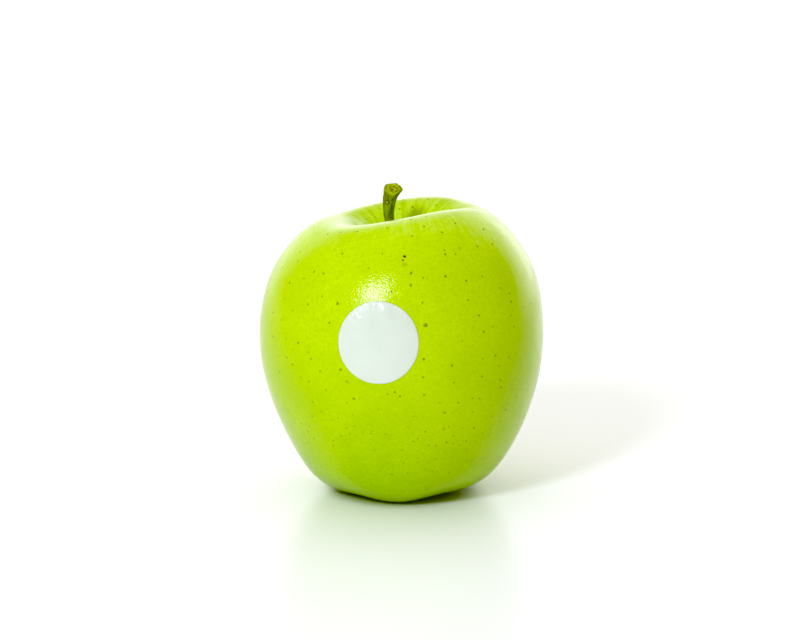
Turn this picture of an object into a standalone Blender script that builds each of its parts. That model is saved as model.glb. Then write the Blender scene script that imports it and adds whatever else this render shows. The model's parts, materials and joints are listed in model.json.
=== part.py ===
"""A green eating apple, as picked: the fruit, its stem, the dried calyx in its base and a bare round label.

Metres, +Z up. The apple stands on the lobes round its calyx basin, with the floor at Z = 0. The label faces -Y.
Azimuths run round the core line from the front (-Y) towards the right (+X).
"""

import math

import bmesh
import bpy
from mathutils import Matrix, Vector

MM = 0.001

# Driving dimensions of the fruit
WIDEST_RADIUS = 39.4 * MM
CREST_HEIGHT = 77.6 * MM
CREST_RADIUS = 19.0 * MM
STEM_CAVITY_DEPTH = 17.0 * MM
FOOT_RADIUS = 14.5 * MM
BASIN_DEPTH = 9.0 * MM

# Growth that makes the fruit less than round
LOBES = 5
FRONT_LOBE_AZIMUTH = math.radians(-6)
LOBE_REACH_UP = 22 * MM
LOBE_VALLEY_RISE = 0.7 * MM
LOBE_BULGE = 0.35 * MM
SMALL_LOBE_AZIMUTH = FRONT_LOBE_AZIMUTH + math.tau / LOBES
SMALL_LOBE_RISE = 1.3 * MM
BASE_SHIFT = 0.6 * MM
BASE_SHIFT_REACH_UP = 40 * MM
SHOULDER_SHIFT = 0.4 * MM
SHOULDER_SHIFT_START = 44 * MM
SHOULDER_SHIFT_SPAN = 20 * MM
SHOULDER_REACH_DOWN = 24 * MM
OVAL_SHARE = 0.008

# How far the cavity's rim is lifted at equal steps round the core line, from the front by the right
RIM_RISES = [
    0.75 * MM,
    2.3 * MM,
    2.1 * MM,
    0.6 * MM,
    1.2 * MM,
    2.0 * MM,
    1.0 * MM,
    -0.6 * MM,
    -2.0 * MM,
    -1.8 * MM,
    -2.4 * MM,
    -1.3 * MM,
]
GENTLE_WALL_AZIMUTH = math.radians(-80)
GENTLE_WALL_WIDTH = math.radians(45)
GENTLE_WALL_SHIFT = 1.8 * MM
FOOT_FLAT_DEPTH = 0.25 * MM

# Stem, label and calyx
STEM_RADIUS = 1.35 * MM
STEM_HEAD_RADIUS = 2.3 * MM
LABEL_RADIUS = 10.8 * MM
LABEL_THICKNESS = 0.15 * MM
LABEL_AZIMUTH = math.radians(-9)
LABEL_HEIGHT = 48.0 * MM
EYE_RADIUS = 2.7 * MM
SEPAL_WIDTH = 2.3 * MM
SEPAL_THICKNESS = 0.45 * MM
STAMEN_TUFT_RADIUS = 0.75 * MM
STAMEN_TUFT_LENGTH = 3.0 * MM
GAP = 0.3 * MM

# Fineness of the meshes
SEGMENTS_ROUND_FRUIT = 60
STEPS_PER_SPAN = 2
SEGMENTS_ROUND_STEM = 16
LABEL_RINGS = 5
SEGMENTS_ROUND_LABEL = 36

SKIN_GREEN = (0.45, 0.68, 0.01)
BARK_OLIVE = (0.12, 0.17, 0.01)
FILM_WHITE = (0.80, 0.86, 0.80)
DRY_BROWN = (0.20, 0.13, 0.06)


def clear_scene():
    for obj in list(bpy.data.objects):
        bpy.data.objects.remove(obj)


def principled(name, colour, roughness, metallic=0.0):
    material = bpy.data.materials.new(name)
    material.use_nodes = True
    shader = material.node_tree.nodes["Principled BSDF"]
    shader.inputs["Base Color"].default_value = (*colour, 1.0)
    shader.inputs["Roughness"].default_value = roughness
    shader.inputs["Metallic"].default_value = metallic
    return material


def add_object(name, bm, material):
    """Makes an object of the bmesh, shaded smooth."""
    mesh = bpy.data.meshes.new(name)
    bmesh.ops.recalc_face_normals(bm, faces=bm.faces)
    bm.to_mesh(mesh)
    bm.free()
    mesh.shade_smooth()
    mesh.materials.append(material)
    obj = bpy.data.objects.new(name, mesh)
    bpy.context.scene.collection.objects.link(obj)
    return obj


def smooth_step(value):
    """0 below 0, 1 above 1, and a soft rise between."""
    t = min(max(value, 0.0), 1.0)
    return t * t * (3 - 2 * t)


def smooth_line(points, steps, before=None, after=None):
    """A smooth curve through the points, cut into steps for each span. before and after steer its two ends."""
    first = before or 2 * points[0] - points[1]
    last = after or 2 * points[-1] - points[-2]
    known = [first, *points, last]
    lengths = [(b - a).length for a, b in zip(known, known[1:])]
    slopes = []
    for i in range(1, len(known) - 1):
        back = (known[i] - known[i - 1]) / lengths[i - 1]
        ahead = (known[i + 1] - known[i]) / lengths[i]
        slopes.append((back * lengths[i] + ahead * lengths[i - 1]) / (lengths[i - 1] + lengths[i]))
    line = []
    for i in range(len(points) - 1):
        span = lengths[i + 1]
        for step in range(steps):
            t = step / steps
            line.append(
                points[i] * (2 * t**3 - 3 * t**2 + 1)
                + slopes[i] * span * (t**3 - 2 * t**2 + t)
                + points[i + 1] * (3 * t**2 - 2 * t**3)
                + slopes[i + 1] * span * (t**3 - t**2)
            )
    return [*line, points[-1]]


def round_the_core(radius, height, azimuth):
    return Vector((radius * math.sin(azimuth), -radius * math.cos(azimuth), height))


def flesh_outline():
    """(radius, height) of the round fruit, from the cavity's floor over the crest and the foot into the basin."""
    floor = CREST_HEIGHT - STEM_CAVITY_DEPTH
    cavity = [
        (0.0, floor),
        (1.8 * MM, floor + 0.3 * MM),
        (5.0 * MM, floor + 3.2 * MM),
        (9.0 * MM, floor + 9.0 * MM),
        (13.5 * MM, CREST_HEIGHT - 2.6 * MM),
    ]
    outside = [
        (CREST_RADIUS, CREST_HEIGHT),
        (24.8 * MM, 75.9 * MM),
        (30.5 * MM, 70.8 * MM),
        (35.2 * MM, 63.7 * MM),
        (38.2 * MM, 55.0 * MM),
        (WIDEST_RADIUS, 43.5 * MM),
        (38.1 * MM, 32.0 * MM),
        (34.6 * MM, 21.0 * MM),
        (30.2 * MM, 12.0 * MM),
        (25.6 * MM, 5.2 * MM),
        (20.6 * MM, 1.5 * MM),
        (17.0 * MM, 0.25 * MM),
    ]
    basin = [
        (FOOT_RADIUS, 0.0),
        (12.2 * MM, 0.55 * MM),
        (9.6 * MM, 2.3 * MM),
        (6.6 * MM, 5.2 * MM),
        (4.3 * MM, 7.6 * MM),
        (2.2 * MM, BASIN_DEPTH - 0.3 * MM),
        (0.0, BASIN_DEPTH),
    ]
    return [Vector(point) for point in cavity + outside + basin]


def rim_rise(azimuth):
    """How far the cavity's rim is lifted at an azimuth: a smooth closed curve through RIM_RISES."""
    count = len(RIM_RISES)
    steps = azimuth / math.tau % 1 * count
    i = int(steps)
    t = steps - i
    before, start, end, after = (RIM_RISES[(i + k) % count] for k in (-1, 0, 1, 2))
    bend = 2 * before - 5 * start + 4 * end - after + t * (3 * (start - end) + after - before)
    return start + t / 2 * (end - before + t * bend)


def grown(point):
    """Where growth moves a point of the round fruit: lobed at its base, with an uneven shoulder and cavity."""
    radius = math.hypot(point.x, point.y)
    azimuth = math.atan2(point.x, -point.y)
    off_axis = smooth_step(radius / FOOT_RADIUS)
    lobe = math.cos(LOBES * (azimuth - FRONT_LOBE_AZIMUTH))
    small_lobe = max(math.cos(azimuth - SMALL_LOBE_AZIMUTH), 0) ** 3
    at_base = smooth_step(1 - point.z / LOBE_REACH_UP) * off_axis
    at_top = smooth_step(1 - (CREST_HEIGHT - point.z) / SHOULDER_REACH_DOWN) * off_axis

    height = point.z + at_top * rim_rise(azimuth)
    height += at_base**3 * LOBE_VALLEY_RISE * (1 - lobe) / 2
    height += at_base * SMALL_LOBE_RISE * small_lobe
    across_cavity = radius / CREST_RADIUS
    in_cavity = point.z > CREST_HEIGHT / 2 and across_cavity < 1
    if in_cavity:
        from_gentle = math.remainder(azimuth - GENTLE_WALL_AZIMUTH, math.tau) / GENTLE_WALL_WIDTH
        on_wall = 6.75 * across_cavity**2 * (1 - across_cavity)
        radius -= GENTLE_WALL_SHIFT * on_wall * math.exp(-(from_gentle**2))
    radius += at_base * LOBE_BULGE * lobe
    radius *= 1 + OVAL_SHARE * math.cos(2 * azimuth)
    shifted = BASE_SHIFT * smooth_step(1 - point.z / BASE_SHIFT_REACH_UP)
    shifted += SHOULDER_SHIFT * smooth_step((point.z - SHOULDER_SHIFT_START) / SHOULDER_SHIFT_SPAN) * off_axis
    return round_the_core(radius, height, azimuth) + Vector((shifted, 0, 0))


def build_fruit(skin):
    """Spins the outline round the core line, grows it, and presses its feet flat on the floor."""
    points = flesh_outline()
    before = Vector((-points[1].x, points[1].y))
    after = Vector((-points[-2].x, points[-2].y))
    outline = smooth_line(points, STEPS_PER_SPAN, before, after)
    bm = bmesh.new()
    verts = [bm.verts.new((p.x, 0.0, p.y)) for p in outline]
    edges = [bm.edges.new(pair) for pair in zip(verts, verts[1:])]
    bmesh.ops.spin(
        bm,
        geom=verts + edges,
        cent=(0, 0, 0),
        axis=(0, 0, 1),
        angle=math.tau,
        steps=SEGMENTS_ROUND_FRUIT,
        use_merge=True,
    )
    bmesh.ops.remove_doubles(bm, verts=bm.verts, dist=0.001 * MM)
    for vert in bm.verts:
        vert.co = grown(vert.co)
        vert.co.z = max(vert.co.z - FOOT_FLAT_DEPTH, 0.0)
    return add_object("fruit", bm, skin)


def ring_of(bm, centre, normal, radii, right=Vector((1, 0, 0))):
    """A closed ring of vertices round centre, across normal, with one radius for each vertex."""
    across = (right - right.dot(normal) * normal).normalized()
    away = normal.cross(across)
    verts = []
    for i, radius in enumerate(radii):
        angle = math.tau * i / len(radii)
        verts.append(bm.verts.new(centre + radius * (math.cos(angle) * across + math.sin(angle) * away)))
    return verts


def skin_between(bm, lower, upper):
    """Quads between two rings of the same count."""
    for i in range(len(lower)):
        j = (i + 1) % len(lower)
        bm.faces.new((lower[i], lower[j], upper[j], upper[i]))


def cap_with_point(bm, ring, point):
    """A fan from a ring to one middle point."""
    middle = bm.verts.new(point)
    for i in range(len(ring)):
        bm.faces.new((ring[i], ring[(i + 1) % len(ring)], middle))


def build_stem(bark):
    """Sweeps the stem up from the cavity's floor, through its bend, to the flared head that tore off the tree."""
    foot = CREST_HEIGHT - STEM_CAVITY_DEPTH - FOOT_FLAT_DEPTH + GAP
    path = [
        Vector((0.0, 0.0, foot)),
        Vector((-0.7 * MM, 0.0, foot + 3.4 * MM)),
        Vector((-2.1 * MM, 0.0, foot + 8.4 * MM)),
        Vector((-3.2 * MM, 0.0, foot + 13.6 * MM)),
        Vector((-3.4 * MM, -0.1 * MM, foot + 17.4 * MM)),
        Vector((-3.1 * MM, -0.4 * MM, foot + 20.2 * MM)),
        Vector((-2.4 * MM, -1.1 * MM, foot + 22.7 * MM)),
    ]
    girth = [1.25, 1.02, 0.96, 0.96, 1.08, 1.30]
    bm = bmesh.new()
    rings = []
    for i, centre in enumerate(path[:-1]):
        ahead = (path[i + 1] - path[i - 1]).normalized() if i else Vector((0, 0, 1))
        rings.append(ring_of(bm, centre, ahead, [STEM_RADIUS * girth[i]] * SEGMENTS_ROUND_STEM))
    face_normal = Vector((0.12, -0.66, 0.74)).normalized()
    beak = [1 + 0.28 * max(math.cos(math.tau * i / SEGMENTS_ROUND_STEM), 0) ** 4 for i in range(SEGMENTS_ROUND_STEM)]
    head = [STEM_HEAD_RADIUS * reach for reach in beak]
    rings.append(ring_of(bm, path[-1], face_normal, head))
    lip = path[-1] + 0.35 * MM * face_normal
    rings.append(ring_of(bm, lip, face_normal, [0.86 * radius for radius in head]))
    for lower, upper in zip(rings, rings[1:]):
        skin_between(bm, lower, upper)
    cap_with_point(bm, rings[0][::-1], path[0])
    cap_with_point(bm, rings[-1], lip - 0.6 * MM * face_normal)
    return add_object("stem", bm, bark)


def surface_at(obj, azimuth, height):
    """(point, normal) where a level ray towards the core line meets the object."""
    start = round_the_core(2 * WIDEST_RADIUS, height, azimuth)
    towards = (Vector((0, 0, height)) - start).normalized()
    hit, point, normal, _ = obj.ray_cast(start, towards)
    return point, normal


def build_label(fruit, film):
    """Lays a round film label on the skin. Its disc starts wide enough to keep its radius when it is wrapped."""
    point, normal = surface_at(fruit, LABEL_AZIMUTH, LABEL_HEIGHT)
    flat_radius = WIDEST_RADIUS * math.tan(LABEL_RADIUS / WIDEST_RADIUS)
    bm = bmesh.new()
    rings = []
    for i in range(1, LABEL_RINGS + 1):
        radii = [flat_radius * i / LABEL_RINGS] * SEGMENTS_ROUND_LABEL
        rings.append(ring_of(bm, Vector(), Vector((0, 0, 1)), radii))
    for inner, outer in zip(rings, rings[1:]):
        skin_between(bm, inner, outer)
    cap_with_point(bm, rings[0], Vector())
    label = add_object("label", bm, film)
    turn = normal.to_track_quat("Z", "Y").to_matrix().to_4x4()
    label.data.transform(Matrix.Translation(point + GAP * normal) @ turn)

    wrap = label.modifiers.new("lie_on_skin", "SHRINKWRAP")
    wrap.target = fruit
    wrap.wrap_method = "NEAREST_SURFACEPOINT"
    wrap.wrap_mode = "OUTSIDE_SURFACE"
    wrap.offset = GAP
    film_wall = label.modifiers.new("film_thickness", "SOLIDIFY")
    film_wall.thickness = LABEL_THICKNESS
    film_wall.offset = 1.0
    return label


def sepal_line(curl):
    """(outward, height) along a sepal's middle: out of the eye towards the floor, then curling back over the basin."""
    eye = BASIN_DEPTH - FOOT_FLAT_DEPTH
    return [
        Vector((EYE_RADIUS, eye - 1.1 * MM)),
        Vector((EYE_RADIUS - 0.7 * MM, eye - 2.4 * MM)),
        Vector((EYE_RADIUS - 0.5 * MM, eye - 3.9 * MM)),
        Vector((EYE_RADIUS + 0.5 * MM, eye - 5.0 * MM - curl / 2)),
        Vector((EYE_RADIUS + 1.9 * MM, eye - 5.2 * MM + curl)),
    ]


def build_sepal(number, azimuth, curl, dry):
    """One dried sepal: a narrow pointed leaf with its base in the eye and its tip curled back."""
    line = smooth_line(sepal_line(curl), 2)
    bm = bmesh.new()
    rows = []
    for i, place in enumerate(line):
        along = i / (len(line) - 1)
        half_width = SEPAL_WIDTH / 2 * (1 - along**1.6) * (0.62 + 0.38 * math.sin(math.pi * along)) + 0.15 * MM
        ahead = line[min(i + 1, len(line) - 1)] - line[max(i - 1, 0)]
        inward = Vector((-ahead.y, ahead.x)).normalized() * SEPAL_THICKNESS / 2
        row = []
        for side, face in ((-1, -1), (0, -1), (1, -1), (1, 1), (0, 1), (-1, 1)):
            fold = 0.1 * SEPAL_WIDTH * abs(side) * (1 - along)
            outward = place.x + face * inward.x + fold
            row.append(bm.verts.new((side * half_width, -outward, place.y + face * inward.y)))
        rows.append(row)
    for lower, upper in zip(rows, rows[1:]):
        skin_between(bm, lower, upper)
    for row in (rows[0], rows[-1]):
        bm.faces.new((row[0], row[1], row[4], row[5]))
        bm.faces.new((row[1], row[2], row[3], row[4]))
    bm.transform(Matrix.Rotation(azimuth, 4, "Z"))
    return add_object(f"sepal_{number}", bm, dry)


def build_stamen_tuft(dry):
    """The withered stamens and styles, as one slim tuft that hangs in the middle of the sepals."""
    top = BASIN_DEPTH - FOOT_FLAT_DEPTH - GAP
    sections = [(0.75, 0.0), (1.0, 0.35), (0.8, 0.8), (0.45, 1.0)]
    bm = bmesh.new()
    rings = []
    for girth, along in sections:
        centre = Vector((0, 0, top - along * STAMEN_TUFT_LENGTH))
        rings.append(ring_of(bm, centre, Vector((0, 0, 1)), [girth * STAMEN_TUFT_RADIUS] * 10))
    for upper, lower in zip(rings, rings[1:]):
        skin_between(bm, upper, lower)
    cap_with_point(bm, rings[0], Vector((0, 0, top)))
    cap_with_point(bm, rings[-1], Vector((0, 0, top - STAMEN_TUFT_LENGTH)))
    return add_object("stamen_tuft", bm, dry)


def build_calyx(dry):
    """Five sepals, one over each lobe, each with its own curl, and the stamens between them."""
    curls = [0.5 * MM, 0.2 * MM, 0.7 * MM, 0.35 * MM, 0.6 * MM]
    sepals = []
    for i, curl in enumerate(curls):
        azimuth = FRONT_LOBE_AZIMUTH + math.tau * i / LOBES
        sepals.append(build_sepal(i + 1, azimuth, curl, dry))
    return [*sepals, build_stamen_tuft(dry)]


def stand_over_origin(pieces):
    """Moves all pieces together, so that the fruit's box stands centred on the origin."""
    corners = [Vector(corner) for corner in pieces[0].bound_box]
    low_x, high_x = min(c.x for c in corners), max(c.x for c in corners)
    low_y, high_y = min(c.y for c in corners), max(c.y for c in corners)
    for piece in pieces:
        piece.location = (-(low_x + high_x) / 2, -(low_y + high_y) / 2, 0.0)


def build_apple():
    skin = principled("apple_skin", SKIN_GREEN, 0.35)
    bark = principled("stem_bark", BARK_OLIVE, 0.75)
    film = principled("label_film", FILM_WHITE, 0.25)
    dry = principled("dry_calyx", DRY_BROWN, 0.9)
    fruit = build_fruit(skin)
    bpy.context.view_layer.update()
    stem = build_stem(bark)
    label = build_label(fruit, film)
    stand_over_origin([fruit, stem, label, *build_calyx(dry)])


clear_scene()
build_apple()
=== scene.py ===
"""A green eating apple with its stem, dried calyx and a bare round label, on a white studio floor."""

import json
import math
import random

import bmesh
import bpy
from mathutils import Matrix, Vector

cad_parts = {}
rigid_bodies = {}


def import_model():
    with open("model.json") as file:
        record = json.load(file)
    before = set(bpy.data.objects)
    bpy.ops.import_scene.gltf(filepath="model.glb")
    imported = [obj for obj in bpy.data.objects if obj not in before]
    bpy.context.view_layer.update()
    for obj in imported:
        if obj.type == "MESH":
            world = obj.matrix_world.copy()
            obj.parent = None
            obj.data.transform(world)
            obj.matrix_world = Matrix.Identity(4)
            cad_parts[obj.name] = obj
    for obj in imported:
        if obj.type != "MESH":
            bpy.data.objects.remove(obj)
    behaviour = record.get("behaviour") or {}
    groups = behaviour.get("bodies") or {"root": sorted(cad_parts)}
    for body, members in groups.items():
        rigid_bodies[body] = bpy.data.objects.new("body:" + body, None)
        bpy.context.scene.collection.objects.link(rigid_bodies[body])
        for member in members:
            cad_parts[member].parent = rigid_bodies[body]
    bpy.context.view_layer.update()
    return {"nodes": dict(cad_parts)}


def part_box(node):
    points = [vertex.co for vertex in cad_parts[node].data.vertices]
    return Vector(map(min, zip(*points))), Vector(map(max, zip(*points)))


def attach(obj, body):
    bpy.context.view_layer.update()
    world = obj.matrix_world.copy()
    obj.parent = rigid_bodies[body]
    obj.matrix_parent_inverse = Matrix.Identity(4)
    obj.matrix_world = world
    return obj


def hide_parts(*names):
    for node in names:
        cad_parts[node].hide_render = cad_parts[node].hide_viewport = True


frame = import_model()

MM = 0.001

# The picture and its camera
PICTURE_WIDTH = 800
PICTURE_HEIGHT = 640
SENSOR_WIDTH = 36
LENS = 100
CAMERA_PLACE = Vector((-0.4, -601.0, 156.0)) * MM
CAMERA_DOWN = math.radians(10.27)

# The light. Gloss is what shines in the skin, fill is what lights it.
GLOSS_FRONT = 0.01
GLOSS_HIGH = 0.5
GLOSS_HORIZON = 1.5
GLOSS_WINDOW = 1.3
WINDOW_AZIMUTH = math.radians(140)
FILL_FRONT = 0.72
FILL_BACK = 0.9
FILL_LEFT = 0.77
FILL_LEFT_AZIMUTH = math.radians(-75)
FILL_RIGHT = 0.52
FILL_RIGHT_AZIMUTH = math.radians(60)
FILL_TOP = 1.42
BACKDROP = 1.2
ROOM_TINT = (1.0, 1.0, 0.96, 1.0)
KEY_POWER = 4.95
KEY_TINT = (0.82, 0.87, 1.0)
KEY_SIZE = 0.18
KEY_DISTANCE = 0.9
KEY_AIM_HEIGHT = 45 * MM
KEY_AZIMUTH = math.radians(-27)
KEY_ELEVATION = math.radians(31)

# The light that the picture shows as black, in red, green and blue
BLACK_LEVEL = (0.005, 0.008, 0.048)

# The floor
FLOOR_RADIUS = 4
# How near under the apple the floor gets a painted contact shadow, and that painted shadow's dark green
PAINTED_SHADOW_REACH = 9 * MM
FLOOR_WHITE = (0.97, 0.97, 0.97)
PAINTED_CONTACT_SHADOW = (0.28, 0.4, 0.03)

# The fruit
WELD_GAP = 0.002 * MM
SKIN_SMOOTHINGS = 2
SWELL_WIDTH = 17 * MM
SWELL_HEIGHT = 0.3 * MM
FEET_HEIGHT = 5 * MM
UNSEEN_START = -12 * MM
UNSEEN_FADE = 8 * MM
DOT_RAGGEDNESS = 0.5 * MM

# Colours of the skin, from the ground to the marks
SKIN_LOW = (0.295, 0.52, 0.001)
SKIN_WAIST = (0.385, 0.58, 0.001)
SKIN_HIGH = (0.455, 0.64, 0.001)
SKIN_RIPE = (0.5, 0.7, 0.001)
TOP_PALE = (0.56, 0.78, 0.1)
BROAD_STREAK = (0.58, 0.8, 0.14)
FINE_STREAK = (0.62, 0.83, 0.22)
FURROW = (0.3, 0.54, 0.001)
# A painted highlight along the front of the cavity's lip
LIP_PAINTED_HIGHLIGHT = (0.8, 0.93, 0.45)
MOTTLE = (0.6, 0.82, 0.08)
GRAIN_PALE = (0.55, 0.76, 0.005)
GRAIN_DEEP = (0.28, 0.48, 0.001)
DOT_EDGE = (0.11, 0.13, 0.003)
DOT_MIDDLE = (0.32, 0.32, 0.09)
RUSSET = (0.16, 0.11, 0.035)
MARK_BROWN = (0.2, 0.15, 0.006)

# The label
LABEL_RADIUS = 10.8 * MM
LABEL_AZIMUTH = math.radians(-9)
LABEL_HEIGHT = 48.1 * MM
FILM_THICKNESS = 0.07 * MM
FILM_LIFT = 0.06 * MM
LABEL_RINGS = 14
LABEL_SEGMENTS = 96

# The label's puckers: degrees round it from its right, share of its radius, lift and reach in millimetres
LABEL_PUCKERS = (
    (79, 0.82, 0.4, 3.2),
    (97, 0.98, 0.4, 1.5),
    (97, 0.84, 0.24, 1.3),
    (86, 0.97, 0.22, 1.1),
    (135, 0.98, 0.42, 1.3),
    (134, 0.84, 0.32, 1.2),
    (133, 0.7, 0.18, 1.2),
    (124, 0.9, 0.14, 0.9),
    (20, 0.98, 0.16, 1.2),
    (-80, 0.98, 0.14, 1.4),
    (-150, 0.98, 0.16, 1.2),
)

# The stem and the calyx
STEM_SEGMENTS = 20
STEM_EDGE_STEP = 5
STEM_EDGE_GIRTH = 0.88
STEM_SCAR = (-1.45, -0.75, -3.5)
STEM_FOOT_GAP = 0.02 * MM
TORN_FACE_RADIUS = 2.05 * MM
TORN_FACE_DEPTH = 0.45 * MM
SEPALS = 5
STAMENS = 14
STAMEN_SPREAD = 0.5 * MM
GOLDEN_SHARE = 0.382

# Places on the skin, as the pixels where the picture shows them: the corky dots, which get smaller towards
# the base, and then the marks that aren't dots
DOTS_ON_SHOULDERS = [
    (412.8, 207), (399.4, 209), (436.2, 205.1), (420.4, 199.7), (428.6, 199.4), (451.5, 208.5),
    (387.4, 227.9), (425.7, 216.3), (410.4, 219.5), (423.8, 226.5), (442, 232.4), (412.1, 236),
    (455.4, 223.5), (444.4, 250.4), (445.3, 254.4), (459.5, 248), (477.4, 246.3), (455.8, 254.2),
    (357.3, 231.5), (382.2, 253.7), (342.4, 253.7), (366.4, 219), (340.8, 232.2), (368.7, 268.5),
    (483.4, 229.4), (499.6, 234.7), (492.2, 244.2), (313.9, 229.7), (327.8, 234.1), (299.8, 251.4),
    (297.9, 261.4), (282.1, 267.2),
]
DOTS_ON_SIDES = [
    (411, 273), (423.4, 277.6), (410.9, 285.2), (389.6, 279.8), (391, 292), (422.2, 302.7),
    (323.6, 273.4), (322.2, 296.2), (337.6, 303.6), (329.4, 323), (423.6, 359.1), (423.3, 377.4),
    (340.7, 369.6), (387.6, 393.9), (347.2, 381.6), (326, 389.5), (353.8, 398.7), (424, 395),
    (394.8, 392.1), (510.5, 272.2), (445.4, 276.2), (482, 276.2), (466.3, 280.6), (500.4, 288.1),
    (509.7, 293.5), (468.1, 300.1), (511.3, 301.5), (523.7, 307.1), (531.6, 303.1), (524.5, 274),
    (313.9, 272), (304.1, 278.5), (289.5, 283), (284.7, 298.5), (308, 304.4), (292.8, 310.6),
    (273.2, 312.6), (281.6, 320), (273.2, 336.6), (286, 338.6), (298, 343), (308, 352.4), (286.6, 357.4),
    (311, 359), (292.6, 364.4), (320, 371.4), (279.6, 371.6), (300.8, 377.6), (309, 381.4),
]
DOTS_RIGHT_OF_LABEL = [
    (479, 315.8), (510.8, 315.6), (513.9, 326.5), (493.1, 326.6), (483.7, 331.8), (462.2, 340.9),
    (495.5, 355.4), (482.8, 358.7), (509, 356.8), (510.5, 358.7), (452.1, 365.5), (499, 365.7),
    (482.2, 376.4), (454.3, 382.6), (500.4, 380), (512, 384.5), (500.8, 387.5), (527.5, 389.5),
    (516.5, 396.4), (472.6, 398.3), (479.7, 398.3), (439.7, 403), (458.4, 402.7), (507.5, 403.3),
    (505.6, 409.6), (473, 412), (444.8, 412.8), (491.5, 416.4),
]
DOTS_BELOW_LABEL = [
    (519.5, 417.2), (448.8, 426.8), (444, 429), (462.8, 428), (474.3, 427.7), (490.5, 429.7),
    (453.5, 435.7), (488.6, 435.3), (446.6, 442.3), (474.7, 441.7), (466, 441), (346.8, 402.7),
    (312.5, 402), (378.5, 409.6), (321.3, 411.7), (352.6, 414.7), (312.5, 416.5), (414.2, 416.2),
    (295, 423.5), (302, 423.7), (346.5, 428.1), (362.7, 432.3), (370.8, 433.5), (385.5, 433.8),
    (425.5, 431.7), (341.3, 436.2), (333.4, 440.5), (417.7, 438.7), (413.2, 441.4), (313.7, 438.2),
    (308.5, 442.5),
]
DOTS_NEAR_BASE = [
    (322.5, 465.5), (333, 445), (338.8, 478.8), (344.5, 471.8), (374.5, 450), (378.3, 470.5),
    (392, 474.3), (401.8, 450), (407.5, 472.5), (417.5, 458), (418, 462.5), (425.8, 469.5), (432.5, 471),
    (429, 445), (435.8, 445.5), (449.5, 472.5), (453, 443.8), (460, 445), (467, 450), (467, 460),
    (483.8, 458), (413.8, 490), (426, 490),
]
BROWN_DOT = (425.6, 325)
BROWN_DOT_MIDDLE = (425, 324.1)
DARK_DOT = (400.1, 396.4)
DARK_BLEMISH = (404.4, 256.3)
SMALL_BLEMISH = (402.7, 260.2)
BROWN_SMEAR = (404.8, 264.5)
BASE_SCAR = (478.8, 479.3)


def deselect_all():
    if bpy.context.mode != "OBJECT":
        bpy.ops.object.mode_set(mode="OBJECT")
    bpy.ops.object.select_all(action="DESELECT")


def pick(piece):
    """Makes this piece the only one that is selected, and the active one."""
    deselect_all()
    piece.select_set(True)
    bpy.context.view_layer.objects.active = piece


def work_on(piece):
    """Opens the piece in edit mode with everything selected."""
    pick(piece)
    bpy.ops.object.mode_set(mode="EDIT")
    bpy.ops.mesh.select_all(action="SELECT")


def done():
    bpy.ops.object.mode_set(mode="OBJECT")


def select_points(piece, wanted):
    """Selects the points of the piece in edit mode that wanted says yes to."""
    bpy.ops.mesh.select_all(action="DESELECT")
    bpy.ops.mesh.select_mode(type="VERT")
    mesh = bmesh.from_edit_mesh(piece.data)
    for point in mesh.verts:
        point.select_set(wanted(point))
    mesh.select_flush_mode()
    bmesh.update_edit_mesh(piece.data)


def select_nearest(piece, place):
    """Selects the one point of the piece in edit mode that is nearest to the place."""
    mesh = bmesh.from_edit_mesh(piece.data)
    nearest = min(mesh.verts, key=lambda point: (point.co - place).length).co.copy()
    select_points(piece, lambda point: point.co == nearest)


def middle_of_selection(piece):
    mesh = bmesh.from_edit_mesh(piece.data)
    places = [point.co for point in mesh.verts if point.select]
    return sum(places, Vector()) / len(places)


def tug(piece, place, move, reach, falloff="SMOOTH"):
    """Pulls the piece by its point nearest to the place. All within reach comes along, less and less."""
    select_nearest(piece, place)
    bpy.ops.transform.translate(
        value=move,
        use_proportional_edit=True,
        proportional_edit_falloff=falloff,
        proportional_size=reach,
    )


def shape_with(piece, kind, **settings):
    """Adds a modifier with these settings and applies it."""
    pick(piece)
    modifier = piece.modifiers.new(kind.lower(), kind)
    for name, value in settings.items():
        setattr(modifier, name, value)
    bpy.ops.object.modifier_apply(modifier=modifier.name)


def smooth(piece, times):
    shape_with(piece, "SUBSURF", levels=times, render_levels=times)
    piece.data.shade_smooth()


def roughen(piece, width, height, **settings):
    """Moves the surface in and out by a cloudy pattern of this width and height."""
    pattern = bpy.data.textures.new("roughness", "CLOUDS")
    pattern.noise_scale = width
    pattern.noise_depth = 2
    shape_with(piece, "DISPLACE", texture=pattern, strength=height, mid_level=0.5, **settings)


def settle(piece, name):
    """Names the piece and puts its place, turn and scale into its mesh."""
    pick(piece)
    bpy.ops.object.transform_apply(location=True, rotation=True, scale=True)
    piece.name = name
    piece.data.name = name
    return piece


def copy_turned(piece, name, azimuth):
    """A copy with its own mesh, turned round the core line."""
    twin = piece.copy()
    twin.data = piece.data.copy()
    bpy.context.scene.collection.objects.link(twin)
    twin.rotation_euler = (0, 0, azimuth)
    return settle(twin, name)


def join(pieces, name):
    deselect_all()
    for piece in pieces:
        piece.select_set(True)
    bpy.context.view_layer.objects.active = pieces[0]
    bpy.ops.object.join()
    return settle(pieces[0], name)


def paint(piece, finish):
    piece.data.materials.clear()
    piece.data.materials.append(finish)


def stand_in_for(piece, slot, *nodes):
    """Lets the piece stand for its nodes, on the one body that there is."""
    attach(piece, "root")
    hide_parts(*nodes)


def soft_step(value, low, high):
    """0 below low, 1 above high, and a soft rise between."""
    t = min(max((value - low) / (high - low), 0.0), 1.0)
    return t * t * (3 - 2 * t)


def towards(azimuth, elevation=0.0):
    """The direction away from the core line. Azimuth runs from the front to the right, elevation upwards."""
    level = math.cos(elevation)
    return Vector((level * math.sin(azimuth), -level * math.cos(azimuth), math.sin(elevation)))


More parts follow.
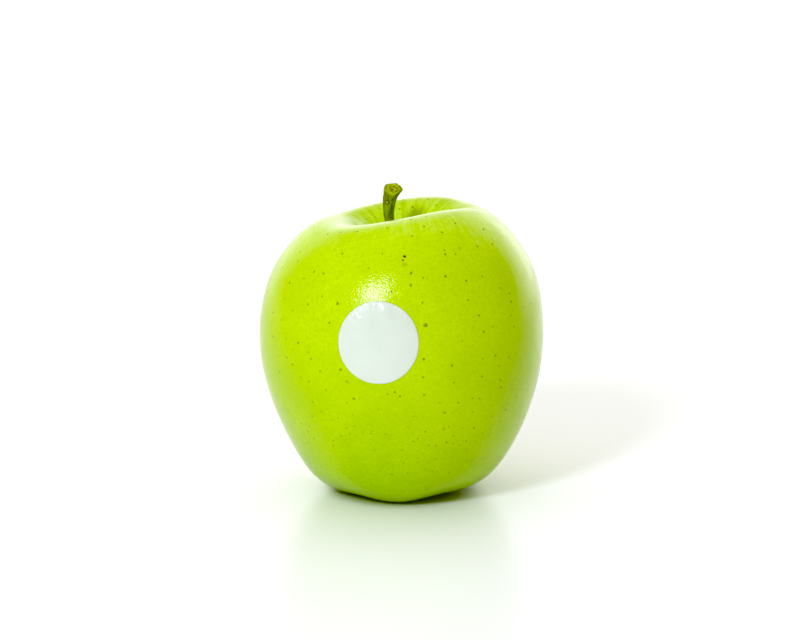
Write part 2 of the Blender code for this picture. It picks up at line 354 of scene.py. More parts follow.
def seen_at(piece, pixel):
    """The place on the piece that the camera sees at a pixel of the picture."""
    reach = LENS / SENSOR_WIDTH * PICTURE_WIDTH
    right = pixel[0] - PICTURE_WIDTH / 2
    up = PICTURE_HEIGHT / 2 - pixel[1]
    ahead = Vector((0, math.cos(CAMERA_DOWN), -math.sin(CAMERA_DOWN)))
    above = Vector((0, math.sin(CAMERA_DOWN), math.cos(CAMERA_DOWN)))
    ray = (Vector((right, 0, 0)) + up * above + reach * ahead).normalized()
    hit, place, _, _ = piece.ray_cast(CAMERA_PLACE, ray)
    return place if hit else None


class Wiring:
    """Short calls that add nodes to a node tree and link them. place is where its patterns are read."""

    def __init__(self, tree, coordinates):
        self.tree = tree
        self.place = self.add("ShaderNodeTexCoord").outputs[coordinates]

    def add(self, kind, **settings):
        node = self.tree.nodes.new(kind)
        for name, value in settings.items():
            setattr(node, name, value)
        return node

    def wire(self, socket, value):
        """Links another node's output to the socket, or sets it to a plain value."""
        if isinstance(value, bpy.types.NodeSocket):
            self.tree.links.new(value, socket)
        else:
            socket.default_value = value

    def maths(self, operation, *values):
        node = self.add("ShaderNodeMath", operation=operation)
        for socket, value in zip(node.inputs, values):
            self.wire(socket, value)
        return node.outputs[0]

    def product(self, *values):
        result = values[0]
        for value in values[1:]:
            result = self.maths("MULTIPLY", result, value)
        return result

    def greatest(self, *values):
        result = values[0]
        for value in values[1:]:
            result = self.maths("MAXIMUM", result, value)
        return result

    def vector_maths(self, operation, *values, output=0):
        node = self.add("ShaderNodeVectorMath", operation=operation)
        for socket, value in zip(node.inputs, values):
            self.wire(socket, value)
        return node.outputs[output]

    def scaled(self, vector, by):
        node = self.add("ShaderNodeVectorMath", operation="SCALE")
        self.wire(node.inputs[0], vector)
        self.wire(node.inputs["Scale"], by)
        return node.outputs[0]

    def far_from(self, point, at=None):
        """The distance from a point, in metres."""
        return self.vector_maths("DISTANCE", at or self.place, point, output="Value")

    def axes(self, vector=None):
        node = self.add("ShaderNodeSeparateXYZ")
        self.wire(node.inputs[0], vector or self.place)
        return node.outputs[0], node.outputs[1], node.outputs[2]

    def joined(self, x, y, z):
        node = self.add("ShaderNodeCombineXYZ")
        for socket, value in zip(node.inputs, (x, y, z)):
            self.wire(socket, value)
        return node.outputs[0]

    def noise(self, scale, detail=2.0, rough=0.5, at=None, twist=0.0, output="Fac"):
        node = self.add("ShaderNodeTexNoise")
        self.wire(node.inputs["Vector"], at or self.place)
        node.inputs["Scale"].default_value = scale
        node.inputs["Detail"].default_value = detail
        node.inputs["Roughness"].default_value = rough
        node.inputs["Distortion"].default_value = twist
        return node.outputs[output]

    def cells(self, scale, at=None):
        """The distance from the nearest of points strewn at this scale."""
        node = self.add("ShaderNodeTexVoronoi")
        self.wire(node.inputs["Vector"], at or self.place)
        node.inputs["Scale"].default_value = scale
        return node.outputs["Distance"]

    def ramp(self, value, low, high, start=0.0, end=1.0):
        """A soft rise from start to end while value goes from low to high."""
        node = self.add("ShaderNodeMapRange", interpolation_type="SMOOTHSTEP")
        for socket, number in zip(node.inputs, (value, low, high, start, end)):
            self.wire(socket, number)
        return node.outputs[0]

    def blend(self, share, first, second):
        """The first colour, and as much of the second as share says."""
        node = self.add("ShaderNodeMix", data_type="RGBA")
        self.wire(node.inputs["Factor"], share)
        self.wire(node.inputs["A"], colour(first))
        self.wire(node.inputs["B"], colour(second))
        return node.outputs["Result"]


class Finish(Wiring):
    """A Principled material. Its settings are the shader's own sockets, the same all over."""

    def __init__(self, name, **all_over):
        self.material = bpy.data.materials.new(name)
        self.material.use_nodes = True
        super().__init__(self.material.node_tree, "Object")
        self.shader = self.tree.nodes["Principled BSDF"]
        for socket, value in all_over.items():
            self.shader.inputs[socket.replace("_", " ")].default_value = value

    def finish_with(self, socket, value):
        self.wire(self.shader.inputs[socket], value)

    def relief(self, height, depth, over=None):
        """Bump of this height value over that depth in metres, on top of another relief."""
        node = self.add("ShaderNodeBump")
        node.inputs["Distance"].default_value = depth
        self.wire(node.inputs["Height"], height)
        if over:
            self.wire(node.inputs["Normal"], over)
        return node.outputs[0]

    def nearest_of(self, places, at):
        """The distance from the nearest of these places."""
        reach = self.far_from(places[0], at)
        for place in places[1:]:
            reach = self.maths("MINIMUM", reach, self.far_from(place, at))
        return reach


def colour(value):
    return value if isinstance(value, bpy.types.NodeSocket) else (*value, 1.0)


class AppleSkin(Finish):
    """Waxy yellow-green skin. Each layer takes the colour so far and gives it back with the layer on it."""

    def __init__(self):
        super().__init__("apple_skin", IOR=1.43, Specular_Tint=(1.0, 1.0, 0.97, 1.0))
        self.x, self.y, self.z = self.axes()
        level = self.joined(self.x, self.y, 0.0)
        self.outwards = self.vector_maths("NORMALIZE", level)
        self.off_core = self.vector_maths("LENGTH", level, output="Value")
        self.high = self.ramp(self.z, 50 * MM, 62 * MM)

    def ground(self):
        """Greener towards the base, more yellow towards the shoulders, and a little uneven."""
        ripeness = self.ramp(self.noise(38, 3, 0.55), 0.3, 0.7)
        body = self.blend(self.ramp(self.z, 30 * MM, 64 * MM), SKIN_WAIST, SKIN_HIGH)
        body = self.blend(self.ramp(self.z, 36 * MM, 2 * MM), body, SKIN_LOW)
        return self.blend(self.product(ripeness, 0.4), body, SKIN_RIPE)

    def streaks(self, body):
        """Pale streaks out of the stem cavity, over its rim and some way down, and how far they stand up."""
        along = self.joined(0.0, 0.0, self.product(self.z, 38.0))
        wobble = self.scaled(self.noise(160, 2, 0.5, output="Color"), 0.5)
        downwards = self.vector_maths("ADD", along, wobble)
        wide = self.vector_maths("ADD", self.scaled(self.outwards, 12.0), downwards)
        narrow = self.vector_maths("ADD", self.scaled(self.outwards, 38.0), downwards)
        broad = self.noise(1.0, 3, 0.55, at=wide)
        fine = self.ramp(self.noise(1.0, 3, 0.6, at=narrow), 0.42, 0.68)
        broken = self.ramp(self.noise(420, 2, 0.6), 0.4, 0.6, 0.25, 1.0)

        in_cavity = self.product(self.ramp(self.off_core, 27 * MM, 17 * MM), self.high)
        at_side = self.ramp(self.maths("ABSOLUTE", self.x), 12 * MM, 24 * MM, 0.25, 1.0)
        on_shoulder = self.product(self.ramp(self.z, 64 * MM, 77 * MM), at_side)
        on_lip = self.ramp(self.z, 71 * MM, 77 * MM, 0.0, 0.7)
        near_top = self.greatest(self.product(in_cavity, 0.8), on_shoulder, on_lip)
        body = self.blend(self.product(near_top, 0.25), body, TOP_PALE)
        body = self.blend(self.product(near_top, self.ramp(broad, 0.4, 0.66), 0.36), body, BROAD_STREAK)
        body = self.blend(self.product(near_top, fine, broken, 0.5), body, FINE_STREAK)
        body = self.blend(self.product(in_cavity, self.ramp(broad, 0.5, 0.36), 0.5), body, FURROW)

        standing = self.product(self.ramp(self.z, 40 * MM, 65 * MM), self.ramp(at_side, 0.3, 1.0))
        return body, self.product(fine, standing, broken)

    def painted_lip_highlight(self, body):
        """A painted highlight: the pale band where the cavity's edge turns over at the front."""
        inside = self.ramp(self.off_core, 15.5 * MM, 17.5 * MM)
        outside = self.ramp(self.off_core, 25 * MM, 18.5 * MM)
        front = self.ramp(self.y, 4 * MM, -6 * MM)
        return self.blend(self.product(inside, outside, self.high, front, 0.75), body, LIP_PAINTED_HIGHLIGHT)

    def mottling(self, body):
        """Fine pale mottling in drifts, thick on the shoulders and thin at the waist, and grain all over."""
        drift = self.ramp(self.noise(75, 3, 0.6), 0.4, 0.62)
        squiggles = self.ramp(self.noise(780, 4, 0.7, twist=1.4), 0.5, 0.62)
        thick = self.ramp(self.z, 40 * MM, 70 * MM, 0.3, 1.0)
        grain = self.noise(1300, 3, 0.6, twist=0.8)
        body = self.blend(self.product(squiggles, drift, thick, 0.6), body, MOTTLE)
        body = self.blend(self.ramp(grain, 0.52, 0.66, 0.0, 0.3), body, GRAIN_PALE)
        return self.blend(self.ramp(grain, 0.46, 0.34, 0.0, 0.3), body, GRAIN_DEEP)

    def dots_and_marks(self, body, dots, marks):
        """Corky dots with a pale middle in a brown edge, and single marks, all with ragged outlines."""
        ragged = self.scaled(self.noise(1700, 2, 0.5, output="Color"), DOT_RAGGEDNESS)
        at = self.vector_maths("ADD", self.place, ragged)
        shift = Vector((0.5, 0.5, 0.5)) * DOT_RAGGEDNESS
        nearness = None
        for radius, places in dots:
            reach = self.nearest_of([place + shift for place in places], at)
            reach = self.maths("DIVIDE", reach, radius)
            nearness = reach if nearness is None else self.maths("MINIMUM", nearness, reach)

        # Strewn dots: over the side that the picture doesn't show, and close together near the base
        unseen = self.ramp(self.y, UNSEEN_START, UNSEEN_START + UNSEEN_FADE)
        for spacing, size, low, top, shown in ((260, 0.09, 22, 36, unseen), (360, 0.09, 38, 26, 1.0)):
            strewn = self.maths("DIVIDE", self.cells(spacing, at), size)
            here = self.product(shown, self.ramp(self.z, low * MM, top * MM))
            strewn = self.maths("ADD", strewn, self.ramp(here, 0.7, 0.2, 0.0, 3.0))
            nearness = self.maths("MINIMUM", nearness, strewn)
        clear = self.ramp(self.noise(260, 1, 0.5), 0.35, 0.6, 0.65, 1.0)
        body = self.blend(self.product(self.ramp(nearness, 1.15, 0.65), clear, 0.85), body, DOT_EDGE)
        body = self.blend(self.product(self.ramp(nearness, 0.7, 0.35), clear, 0.65), body, DOT_MIDDLE)

        for place, radius, tint, share in marks:
            spot = self.ramp(self.far_from(place + shift, at), radius, radius * 0.45)
            body = self.blend(self.product(spot, share), body, tint)
        return body

    def russet(self, body):
        """Rough brown skin round the dried flower."""
        near_eye = self.ramp(self.off_core, 7.5 * MM, 2.5 * MM)
        low_down = self.ramp(self.z, 14 * MM, 11 * MM)
        patchy = self.ramp(self.noise(500, 3, 0.6), 0.3, 0.6, 0.35, 1.0)
        return self.blend(self.product(near_eye, low_down, patchy), body, RUSSET)


def apple_skin_finish(dots, marks):
    """The whole skin. dots is a list of (radius, places), and marks one of (place, radius, tint, share)."""
    skin = AppleSkin()
    body, ridges = skin.streaks(skin.ground())
    # The pale band on the front of the lip is a painted highlight
    body = skin.mottling(skin.painted_lip_highlight(body))
    body = skin.russet(skin.dots_and_marks(body, dots, marks))
    relief = skin.relief(skin.noise(330, 2, 0.5), 0.045 * MM)
    relief = skin.relief(ridges, 0.025 * MM, over=relief)
    relief = skin.relief(skin.noise(1900, 2, 0.6), 0.082 * MM, over=relief)
    skin.finish_with("Base Color", body)
    skin.finish_with("Normal", relief)
    skin.finish_with("Roughness", skin.ramp(skin.noise(210, 3, 0.6), 0.3, 0.7, 0.16, 0.2))
    return skin.material


def stem_bark_finish(scar):
    """Olive bark, darker and browner in its creases, with pale flecks and one pale scar."""
    bark = Finish(
        "stem_bark",
        IOR=1.4,
        Roughness=0.6,
        Specular_IOR_Level=0.3,
        Sheen_Weight=0.12,
        Sheen_Roughness=0.3,
        Sheen_Tint=(0.85, 1.0, 0.5, 1.0),
    )
    x, y, z = bark.axes()
    stretched = bark.joined(bark.product(x, 900.0), bark.product(y, 900.0), bark.product(z, 240.0))
    creases = bark.noise(1.0, 4, 0.65, at=stretched)
    flecks = bark.noise(1500, 3, 0.7)
    patches = bark.noise(420, 2, 0.5)
    tint = bark.blend(bark.ramp(creases, 0.35, 0.62), (0.1, 0.13, 0.001), (0.24, 0.34, 0.002))
    tint = bark.blend(bark.ramp(patches, 0.52, 0.66, 0.0, 0.6), tint, (0.16, 0.13, 0.008))
    tint = bark.blend(bark.ramp(flecks, 0.6, 0.7, 0.0, 0.6), tint, (0.42, 0.46, 0.1))
    tint = bark.blend(bark.ramp(flecks, 0.42, 0.32, 0.0, 0.8), tint, (0.03, 0.03, 0.001))
    ring = bark.maths("ADD", bark.far_from(scar), bark.product(creases, 0.3 * MM))
    tint = bark.blend(bark.ramp(ring, 1.05 * MM, 0.75 * MM, 0.0, 0.8), tint, (0.04, 0.035, 0.001))
    tint = bark.blend(bark.ramp(ring, 0.6 * MM, 0.4 * MM), tint, (0.5, 0.52, 0.12))
    bark.finish_with("Base Color", tint)
    bark.finish_with("Normal", bark.relief(creases, 0.14 * MM, over=bark.relief(flecks, 0.06 * MM)))
    return bark.material


def torn_wood_finish(head):
    """The torn end of the stem: a yellow-green rim round brown fibres, and a dark pit where the pith was."""
    wood = Finish("torn_wood", Roughness=0.65, IOR=1.4, Specular_IOR_Level=0.3)
    fibres = wood.noise(2300, 3, 0.7, twist=0.8)
    pith = head + Vector((0.35, 0.1, 0.2)) * MM
    ring = wood.maths("ADD", wood.far_from(pith), wood.product(fibres, 0.7 * MM))
    rim = wood.blend(wood.ramp(fibres, 0.4, 0.6), (0.2, 0.29, 0.003), (0.42, 0.5, 0.02))
    middle = wood.blend(wood.ramp(fibres, 0.43, 0.57), (0.07, 0.065, 0.002), (0.45, 0.48, 0.04))
    tint = wood.blend(wood.ramp(ring, 1.85 * MM, 1.4 * MM), rim, middle)
    tint = wood.blend(wood.ramp(ring, 0.95 * MM, 0.6 * MM, 0.0, 0.85), tint, (0.05, 0.06, 0.002))
    wood.finish_with("Base Color", tint)
    wood.finish_with("Normal", wood.relief(fibres, 0.15 * MM))
    return wood.material


def label_film_finish():
    """Thin glossy white film, with the faint unevenness that it takes from the skin under it."""
    film = Finish("label_film", IOR=1.48, Roughness=0.2)
    cloud = film.ramp(film.noise(160, 3, 0.55), 0.35, 0.65)
    film.finish_with("Base Color", film.blend(cloud, (0.65, 0.72, 0.61), (0.68, 0.74, 0.635)))
    film.finish_with("Normal", film.relief(film.noise(300, 2, 0.5), 0.03 * MM))
    return film.material


def dry_calyx_finish():
    """Dead leaf: grey-brown, dull and fibrous, with a little green left."""
    leaf = Finish("dry_calyx", IOR=1.4, Roughness=0.88, Sheen_Weight=0.4, Sheen_Roughness=0.5)
    fibres = leaf.noise(1400, 4, 0.7)
    patches = leaf.noise(420, 2, 0.5)
    tint = leaf.blend(leaf.ramp(fibres, 0.38, 0.64), (0.06, 0.035, 0.014), (0.26, 0.17, 0.075))
    tint = leaf.blend(leaf.ramp(patches, 0.5, 0.7, 0.0, 0.6), tint, (0.2, 0.22, 0.06))
    leaf.finish_with("Base Color", tint)
    leaf.finish_with("Normal", leaf.relief(fibres, 0.15 * MM))
    return leaf.material


def grow_apple():
    """The fruit: its solid's own mesh, merged and smoothed, with the slow swells that growth leaves."""
    node = frame["nodes"]["fruit"]
    apple = node.copy()
    apple.data = node.data.copy()
    bpy.context.scene.collection.objects.link(apple)
    pick(apple)
    bpy.ops.object.parent_clear(type="CLEAR_KEEP_TRANSFORM")
    settle(apple, "apple")
    work_on(apple)
    bpy.ops.mesh.remove_doubles(threshold=WELD_GAP)
    bpy.ops.mesh.tris_convert_to_quads(face_threshold=math.radians(40), shape_threshold=math.radians(60))
    done()
    smooth(apple, SKIN_SMOOTHINGS)

    above_feet = apple.vertex_groups.new(name="above_feet")
    for point in apple.data.vertices:
        above_feet.add([point.index], soft_step(point.co.z, FEET_HEIGHT, 5 * FEET_HEIGHT), "REPLACE")
    roughen(apple, SWELL_WIDTH, SWELL_HEIGHT, vertex_group="above_feet")
    apple.vertex_groups.clear()
    apple.data.shade_smooth()
    return apple


def skin_marks(apple):
    """(place, radius, tint, share) of each mark that isn't a dot."""
    marks = [
        (BROWN_DOT, 0.75 * MM, (0.1, 0.1, 0.004), 0.8),
        (BROWN_DOT_MIDDLE, 0.5 * MM, (0.36, 0.36, 0.08), 0.9),
        (DARK_DOT, 0.4 * MM, (0.06, 0.07, 0.002), 0.9),
        (BROWN_SMEAR, 0.9 * MM, MARK_BROWN, 0.3),
        (SMALL_BLEMISH, 0.5 * MM, (0.09, 0.06, 0.002), 0.8),
        (DARK_BLEMISH, 0.56 * MM, (0.02, 0.015, 0.001), 0.97),
        (BASE_SCAR, 1.0 * MM, MARK_BROWN, 0.6),
    ]
    return [(seen_at(apple, pixel), radius, tint, share) for pixel, radius, tint, share in marks]


def skin_dots(apple):
    """(radius, places) of the corky dots. Every other dot of a list has the smaller of its two radii."""
    groups = []
    for pixels, radii in (
        (DOTS_ON_SHOULDERS, (0.35, 0.29)),
        (DOTS_ON_SIDES, (0.38, 0.3)),
        (DOTS_RIGHT_OF_LABEL, (0.34, 0.28)),
        (DOTS_BELOW_LABEL, (0.3, 0.25)),
        (DOTS_NEAR_BASE, (0.28, 0.24)),
    ):
        for start, radius in enumerate(radii):
            places = [seen_at(apple, pixel) for pixel in pixels[start::2]]
            groups.append((radius * MM, [place for place in places if place]))
    return groups


def lay_label(apple):
    """A disc of film, pressed onto the skin, with the puckers that a flat film gets on a round fruit."""
    start = towards(LABEL_AZIMUTH) * 0.1 + Vector((0, 0, LABEL_HEIGHT))
    _, place, normal, _ = apple.ray_cast(start, -towards(LABEL_AZIMUTH))
    turn = normal.to_track_quat("Z", "Y")
    deselect_all()
    bpy.ops.mesh.primitive_circle_add(
        vertices=LABEL_SEGMENTS,
        radius=LABEL_RADIUS * 1.02,
        fill_type="NGON",
        location=place + FILM_LIFT * normal,
        rotation=turn.to_euler(),
    )
    label = settle(bpy.context.object, "label_film")
    work_on(label)
    for _ in range(LABEL_RINGS - 1):
        bpy.ops.mesh.inset(thickness=LABEL_RADIUS / LABEL_RINGS)
    bpy.ops.mesh.poke()
    done()
    shape_with(
        label,
        "SHRINKWRAP",
        target=apple,
        wrap_method="NEAREST_SURFACEPOINT",
        wrap_mode="ABOVE_SURFACE",
        offset=FILM_LIFT,
    )
    across = Vector((0, 0, 1)).cross(normal).normalized()
    upwards = normal.cross(across)
    work_on(label)
    for degrees, share, lift, reach in LABEL_PUCKERS:
        angle = math.radians(degrees)
        spot = place + share * LABEL_RADIUS * (math.cos(angle) * across + math.sin(angle) * upwards)
        tug(label, spot, normal * lift * MM, reach * MM)
    done()
    shape_with(label, "SOLIDIFY", thickness=FILM_THICKNESS, offset=1.0)
    smooth(label, 1)
    return label


# Places along the stem: centre and radius in millimetres from its foot, and tilt to the front in degrees
STEM_STATIONS = (
    ((0.0, 0.0, 0.0), 1.66, 0),
    ((-0.12, 0.0, 1.2), 1.45, 0),
    ((-0.65, 0.0, 3.6), 1.32, 0),
    ((-1.45, 0.0, 6.3), 1.27, 0),
    ((-2.3, 0.0, 9.2), 1.25, 0),
    ((-3.0, 0.0, 12.0), 1.26, 0),
    ((-3.42, 0.0, 14.5), 1.36, 0),
    ((-3.5, 0.0, 16.6), 1.52, 0),
    ((-3.4, -0.1, 18.5), 1.7, 5),
    ((-3.15, -0.3, 20.15), 1.94, 14),
    ((-2.8, -0.62, 21.5), 2.16, 26),
    ((-2.48, -1.0, 22.55), 2.3, 38),
    ((-2.42, -1.12, 22.8), 2.26, 41),
)

# The torn face, from its rim of bark inwards: width of each ring and its depth, in millimetres
TORN_RINGS = ((0.14, 0), (0.3, -0.1), (0.12, -0.12), (0.45, 0.03), (0.4, -0.05), (0.35, -0.12))

# Pulls that shape the head: the beak that the tear left on its right, the flat upper right, a nub and an old
# scar on the left. Each is a place from the head's middle, a way and a reach in millimetres, and how it fades
HEAD_PULLS = (
    ((2.3, 0.3, 0.1), (1.0, 0.1, -0.1), 1.9, "SHARP"),
    ((-1.6, 1.26, 0.98), (-0.05, 0.1, 0.4), 1.3, "SMOOTH"),
    ((1.5, 1.1, 0.9), (0.2, 0.1, 0.3), 1.1, "SMOOTH"),
    ((-2.26, 0.0, 0.0), (0.2, 0.0, 0.1), 1.1, "SMOOTH"),
    ((0.8, 1.6, 1.3), (0.1, 0.1, 0.2), 0.6, "SHARP"),
    ((0.3, 1.6, 1.3), (0.0, -0.1, -0.25), 0.5, "SHARP"),
    ((-2.1, 0.6, 0.3), (-0.3, 0.0, 0.1), 0.6, "SHARP"),
    ((-1.4, -0.7, -3.5), (-0.15, -0.25, 0.0), 0.8, "SHARP"),
    ((0.0, -1.8, -1.4), (0.0, -0.15, -0.3), 1.6, "SMOOTH"),
)


def draw_out(piece, stations):
    """Pulls the selected end on through the stations, with the girth and the tilt of each."""
    for (last_centre, last_radius, last_tilt), (centre, radius, tilt) in zip(stations, stations[1:]):
        move = (Vector(centre) - Vector(last_centre)) * MM
        bpy.ops.mesh.extrude_region_move(TRANSFORM_OT_translate={"value": move})
        middle = middle_of_selection(piece)
        girth = radius / last_radius
        bpy.ops.transform.resize(value=(girth, girth, girth), center_override=middle)
        if tilt != last_tilt:
            turn = math.radians(last_tilt - tilt)
            bpy.ops.transform.rotate(value=turn, orient_axis="X", center_override=middle)


def grow_stem():
    """The stem, drawn up from the cavity's floor ring by ring, flared at the head and torn across."""
    low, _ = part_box("stem")
    foot = Vector((0, 0, low[2] + STEM_FOOT_GAP))
    deselect_all()
    bpy.ops.mesh.primitive_circle_add(
        vertices=STEM_SEGMENTS,
        radius=STEM_STATIONS[0][1] * MM,
        fill_type="NGON",
        location=foot,
    )
    stem = settle(bpy.context.object, "stem")
    work_on(stem)

    # Every fifth edge a little nearer to the middle, for a stalk that isn't quite round
    select_points(stem, lambda point: point.index % STEM_EDGE_STEP == 2)
    bpy.ops.transform.resize(value=(STEM_EDGE_GIRTH, STEM_EDGE_GIRTH, 1), center_override=foot)
    bpy.ops.mesh.select_all(action="SELECT")
    draw_out(stem, STEM_STATIONS)

    # The torn face: a rim of bark, then the wood, a little lower and rough
    head = middle_of_selection(stem)
    facing = [face for face in bmesh.from_edit_mesh(stem.data).faces if face.select][0].normal.copy()
    for thickness, depth in TORN_RINGS:
        bpy.ops.mesh.inset(thickness=thickness * MM, depth=depth * MM)
    bpy.ops.mesh.poke()
    select_points(stem, lambda point: (point.co - head).length < 1.6 * MM)
    bpy.ops.transform.vertex_random(offset=0.12 * MM, seed=4)

    def on_top(point):
        from_head = point.co - head
        return from_head.length < 2.4 * MM and from_head.dot(facing) > 0

    select_points(stem, on_top)
    bpy.ops.transform.vertex_random(offset=0.1 * MM, seed=9)

    for place, move, reach, falloff in HEAD_PULLS:
        tug(stem, head + Vector(place) * MM, Vector(move) * MM, reach * MM, falloff)
    bpy.ops.mesh.select_all(action="SELECT")
    bpy.ops.mesh.normals_make_consistent(inside=False)
    done()

    stem.data.materials.append(stem_bark_finish(head + Vector(STEM_SCAR) * MM))
    stem.data.materials.append(torn_wood_finish(head))
    for face in stem.data.polygons:
        from_head = face.center - head
        torn = from_head.length < TORN_FACE_RADIUS and from_head.dot(facing) > -TORN_FACE_DEPTH
        face.material_index = int(torn)
    smooth(stem, 2)
    roughen(stem, 0.8 * MM, 0.2 * MM)
    stem.data.shade_smooth()
    return stem


# Places along a sepal that points to the front: centre and half width in millimetres, and tilt in degrees
SEPAL_STATIONS = (
    ((0.0, -2.0, 7.72), 0.85, 0),
    ((0.0, -2.1, 7.2), 0.95, -12),
    ((0.0, -2.35, 6.4), 1.0, -24),
    ((0.0, -2.8, 5.5), 0.88, -36),
    ((0.0, -3.4, 4.7), 0.66, -46),
    ((0.0, -3.95, 4.1), 0.42, -40),
    ((0.0, -4.3, 3.65), 0.22, -30),
    ((0.0, -4.45, 3.4), 0.08, -20),
)

# Places along one stamen that hangs from the eye
STAMEN_STATIONS = (
    ((0.0, 0.0, 8.4), 0.12, 0),
    ((0.0, 0.02, 7.8), 0.07, 0),
    ((0.0, -0.04, 7.0), 0.06, 0),
    ((0.0, 0.0, 6.3), 0.06, 0),
    ((0.0, 0.0, 6.1), 0.13, 0),
    ((0.0, 0.0, 5.85), 0.17, 0),
    ((0.0, 0.0, 5.6), 0.08, 0),
)


def draw_strand(name, stations, segments, flatness):
    """A closed strand through the stations, with a cross-section that flatness makes thinner."""
    centre, radius, _ = stations[0]
    deselect_all()
    bpy.ops.mesh.primitive_circle_add(
        vertices=segments,
        radius=radius * MM,
        fill_type="NGON",
        location=Vector(centre) * MM,
    )
    strand = settle(bpy.context.object, name)
    work_on(strand)
    bpy.ops.transform.resize(value=(1, flatness, 1), center_override=Vector(centre) * MM)
    draw_out(strand, stations)
    bpy.ops.mesh.select_all(action="SELECT")
    bpy.ops.mesh.normals_make_consistent(inside=False)
    done()
    return strand


def grow_calyx():
    """The dried sepals in a ring round the eye, each curled outwards, with the withered stamens inside."""
    leaf = dry_calyx_finish()
    pattern = draw_strand("sepal", SEPAL_STATIONS, 12, 0.16)
    paint(pattern, leaf)
    for number in range(1, SEPALS + 1):
        low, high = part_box(f"sepal_{number}")
        azimuth = math.atan2(low[0] + high[0], -low[1] - high[1])
        sepal = copy_turned(pattern, f"dry_sepal_{number}", azimuth)
        smooth(sepal, 2)
        roughen(sepal, 1.3 * MM, 0.32 * MM)
        roughen(sepal, 0.35 * MM, 0.12 * MM)
        stand_in_for(sepal, "dry_calyx", f"sepal_{number}")
    bpy.data.objects.remove(pattern)

    chance = random.Random(5)
    pattern = draw_strand("stamen", STAMEN_STATIONS, 8, 1.0)
    stamens = []
    for number in range(STAMENS):
        stamen = pattern.copy()
        stamen.data = pattern.data.copy()
        bpy.context.scene.collection.objects.link(stamen)
        azimuth = number * math.tau * GOLDEN_SHARE
        away = STAMEN_SPREAD * math.sqrt((number + 0.5) / STAMENS)
        stamen.rotation_euler = (0, 0, chance.uniform(0, math.tau))
        stamen.location = towards(azimuth) * away + Vector((0, 0, chance.uniform(-0.05, 0.3) * MM))
        stamens.append(stamen)
    bpy.data.objects.remove(pattern)
    tuft = join(stamens, "dry_stamens")
    paint(tuft, leaf)
    smooth(tuft, 1)
    roughen(tuft, 0.8 * MM, 0.2 * MM)
    stand_in_for(tuft, "dry_calyx", "stamen_tuft")


def build_camera():
    """The camera where the photo was taken from, looking down a little."""
    lens = bpy.data.cameras.new("camera")
    lens.lens = LENS
    lens.sensor_width = SENSOR_WIDTH
    lens.clip_start = 0.01
    camera = bpy.data.objects.new("camera", lens)
    camera.location = CAMERA_PLACE
    camera.rotation_euler = (math.pi / 2 - CAMERA_DOWN, 0, 0)
    bpy.context.scene.collection.objects.link(camera)
    bpy.context.scene.camera = camera


def hang_softbox(name, direction):
    """A round soft light that faces the apple from this direction."""
    lamp = bpy.data.lights.new(name, "AREA")
    lamp.color = KEY_TINT
    lamp.shape = "DISK"
    lamp.size = KEY_SIZE
    lamp.energy = KEY_POWER
    light = bpy.data.objects.new(name, lamp)
    light.location = Vector((0, 0, KEY_AIM_HEIGHT)) + KEY_DISTANCE * direction
    light.rotation_euler = direction.to_track_quat("Z", "Y").to_euler()
    bpy.context.scene.collection.objects.link(light)


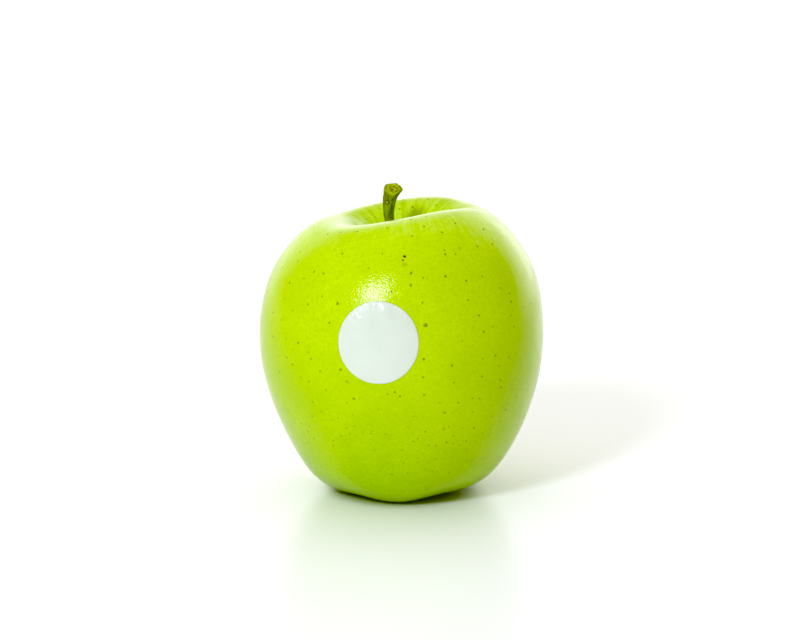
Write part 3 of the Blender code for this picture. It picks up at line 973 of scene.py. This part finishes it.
def light_room():
    """A white room, brightest behind the apple and a little to its right. The skin mirrors a dark front."""
    world = bpy.data.worlds.new("white_room")
    bpy.context.scene.world = world
    world.use_nodes = True
    room = Wiring(world.node_tree, "Generated")
    x, y, z = room.axes()
    rays = room.add("ShaderNodeLightPath").outputs
    level = room.vector_maths("NORMALIZE", room.joined(x, y, 0.0))

    def facing(azimuth):
        return room.vector_maths("DOT_PRODUCT", level, towards(azimuth), output="Value")

    window = room.ramp(facing(WINDOW_AZIMUTH), 0.91, 0.94, 0.0, GLOSS_WINDOW)
    window = room.product(window, room.ramp(z, 0.85, 0.7))
    wall = room.product(room.ramp(y, 0.45, 0.9), room.ramp(z, 0.6, 0.3, GLOSS_HIGH, GLOSS_HORIZON))
    horizon = room.product(room.ramp(z, 0.1, 0.03), room.ramp(y, 0.9, 0.45))
    gloss = room.maths("ADD", room.maths("ADD", wall, window), room.maths("ADD", horizon, GLOSS_FRONT))

    fill = room.product(
        room.ramp(y, -0.9, 0.2, FILL_FRONT, FILL_BACK),
        room.ramp(facing(FILL_RIGHT_AZIMUTH), 0.05, 0.85, 1.0, FILL_RIGHT),
        room.ramp(facing(FILL_LEFT_AZIMUTH), 0.3, 0.95, 1.0, FILL_LEFT),
        room.ramp(z, 0.5, 0.95, 1.0, FILL_TOP),
    )

    def choose(share, first, second):
        difference = room.maths("SUBTRACT", second, first)
        return room.maths("MULTIPLY_ADD", difference, share, first)

    seen = choose(rays["Is Diffuse Ray"], gloss, fill)
    seen = choose(rays["Is Camera Ray"], seen, BACKDROP)
    room.wire(world.node_tree.nodes["Background"].inputs["Strength"], seen)
    room.wire(world.node_tree.nodes["Background"].inputs["Color"], ROOM_TINT)
    hang_softbox("key", towards(KEY_AZIMUTH, KEY_ELEVATION))


def lay_floor():
    """The white floor, with a painted dark green contact shadow in the narrow gap under the apple."""
    deselect_all()
    bpy.ops.mesh.primitive_circle_add(
        vertices=128,
        radius=FLOOR_RADIUS,
        fill_type="NGON",
        location=(0, 0, 0),
    )
    floor = settle(bpy.context.object, "floor")
    white = Finish("floor_white_and_painted_shadow", IOR=1.42, Roughness=0.26)
    # A painted contact shadow: the floor's colour turns dark green where the apple closes in over it
    shade_probe = white.add("ShaderNodeAmbientOcclusion", samples=8)
    shade_probe.inputs["Distance"].default_value = PAINTED_SHADOW_REACH
    unshadowed_share = white.ramp(shade_probe.outputs["AO"], 0.06, 0.28)
    white.finish_with("Base Color", white.blend(unshadowed_share, PAINTED_CONTACT_SHADOW, FLOOR_WHITE))
    paint(floor, white.material)


def develop():
    """Turns light into picture as the photo does, where faint blue is lost in the dark."""
    view = bpy.context.scene.view_settings
    view.view_transform = "Standard"
    view.use_curve_mapping = True
    view.curve_mapping.black_level = BLACK_LEVEL
    view.curve_mapping.update()


def main():
    develop()
    build_camera()
    light_room()
    lay_floor()
    apple = grow_apple()
    paint(apple, apple_skin_finish(skin_dots(apple), skin_marks(apple)))
    stand_in_for(apple, "apple_skin", "fruit")
    label = lay_label(apple)
    paint(label, label_film_finish())
    stand_in_for(label, "label_film", "label")
    stand_in_for(grow_stem(), "stem_bark", "stem")
    grow_calyx()


main()
